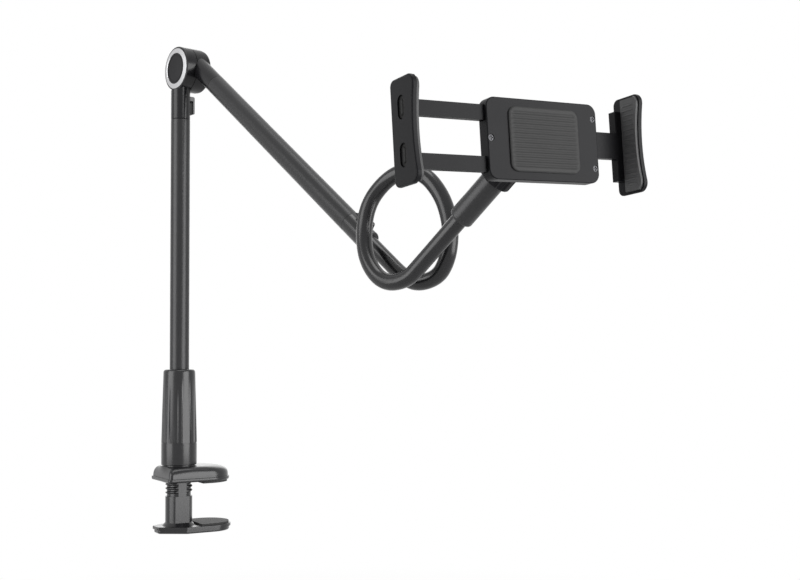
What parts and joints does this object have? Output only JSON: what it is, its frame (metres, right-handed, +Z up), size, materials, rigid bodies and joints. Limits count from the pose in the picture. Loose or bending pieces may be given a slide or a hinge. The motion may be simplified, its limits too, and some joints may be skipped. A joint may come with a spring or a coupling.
{
  "type": "phone gooseneck holder",
  "caption": "Desk-clamp phone holder: screw clamp, swivelling pole, friction elbow, straight arm, looped gooseneck and a spring-loaded phone grip on a ball joint.",
  "frame": {"origin": "middle of the lower jaw's pad, on the face that the underside of the desk rests on", "axes": "+Z up along the pole, +X the way the clamp's jaws reach over the desk; the grip faces -Y"},
  "size_m": [0.1695, 0.4357, 0.4068],
  "materials": {
    "clamp_plastic": "dark grey satin moulding",
    "pad_rubber": "soft matte rubber",
    "dark_anodised": "dark grey satin anodised",
    "gooseneck_cover": "matte dark grey cover on a steel gooseneck",
    "bright_trim": "bright bevelled ring",
    "plated_steel": "plated",
    "washer_nylon": "natural nylon",
    "holder_plastic": "dark grey matte moulding"
  },
  "bodies": {
    "lower_clamp": {"lower_jaw": "clamp_plastic", "lower_pad": "pad_rubber"},
    "upper_clamp": {"upper_jaw": "clamp_plastic", "upper_pad": "pad_rubber", "thrust_washer": "washer_nylon"},
    "clamp_nut": {"grip_nut": "clamp_plastic"},
    "pole": {"pole_tube": "dark_anodised", "pole_foot": "clamp_plastic", "pole_knuckle": "clamp_plastic", "pole_clip": "clamp_plastic", "elbow_trim_ring": "bright_trim", "elbow_cap": "clamp_plastic", "elbow_bolt": "plated_steel", "friction_washers": "washer_nylon", "elbow_nut": "plated_steel", "elbow_far_cap": "clamp_plastic"},
    "arm": {"arm_knuckle": "clamp_plastic", "arm_tube": "dark_anodised", "gooseneck_socket": "clamp_plastic", "arm_clip": "clamp_plastic", "gooseneck": "gooseneck_cover", "ferrule": "dark_anodised"},
    "ball_nut": {"lock_nut": "holder_plastic"},
    "ball_ring": {"ball_seat": "washer_nylon"},
    "ball": {"ball_stud": "plated_steel"},
    "holder": {"holder_housing": "holder_plastic", "holder_cover": "holder_plastic", "cover_screws": "plated_steel", "rest_pad": "pad_rubber", "right_spring": "plated_steel", "left_springs": "plated_steel"},
    "left_grip": {"left_jaw": "holder_plastic", "left_pad": "pad_rubber"},
    "right_grip": {"right_jaw": "holder_plastic", "right_pad": "pad_rubber"}
  },
  "joints": [
    {"name": "jaw_slide", "type": "slide", "parent": "lower_clamp", "child": "upper_clamp", "axis": [0, 0, 1], "range_m": [-0.025, 0.028]},
    {"name": "nut_turn", "type": "hinge", "parent": "upper_clamp", "child": "clamp_nut", "pos_m": [-0.026, 0, 0.06], "axis": [0, 0, 1], "range_deg": [-2640, 2960]},
    {"name": "pole_swivel", "type": "hinge", "parent": "lower_clamp", "child": "pole", "pos_m": [-0.026, 0, 0.0494], "axis": [0, 0, 1], "continuous": true},
    {"name": "elbow", "type": "hinge", "parent": "pole", "child": "arm", "pos_m": [-0.026, 0, 0.3811], "axis": [0.9801, 0.1985, 0], "range_deg": [-116, 30]},
    {"name": "ball_nut_turn", "type": "hinge", "parent": "arm", "child": "ball_nut", "pos_m": [0.05668, -0.37445, 0.26259], "axis": [0.2734, -0.7097, 0.6492], "range_deg": [0, 120]},
    {"name": "ball_swivel", "type": "hinge", "parent": "arm", "child": "ball_ring", "pos_m": [0.05668, -0.37445, 0.26259], "axis": [0.2734, -0.7097, 0.6492], "range_deg": [-60, 60]},
    {"name": "ball_tilt", "type": "hinge", "parent": "ball_ring", "child": "ball", "pos_m": [0.05668, -0.37445, 0.26259], "axis": [0.916, -0.014, -0.401], "range_deg": [-86, 3]},
    {"name": "holder_spin", "type": "hinge", "parent": "ball", "child": "holder", "pos_m": [0.05668, -0.37445, 0.26259], "axis": [0, -0.9994, 0.0349], "continuous": true},
    {"name": "left_jaw_slide", "type": "slide", "parent": "holder", "child": "left_grip", "axis": [-0.9994, -0.0012, -0.0349], "range_m": [-0.0464, 0.0056], "stiffness_N_per_m": 150, "springref_m": -0.06, "deforming": ["left_springs"]},
    {"name": "right_jaw_slide", "type": "slide", "parent": "holder", "child": "right_grip", "axis": [0.9994, 0.0012, 0.0349], "range_m": [-0.0145, 0.0375], "stiffness_N_per_m": 150, "springref_m": -0.03, "deforming": ["right_spring"]}
  ],
  "couplings": [
    {"joint": "jaw_slide", "follows": "nut_turn", "m_per_rad": 0.00054113}
  ]
}
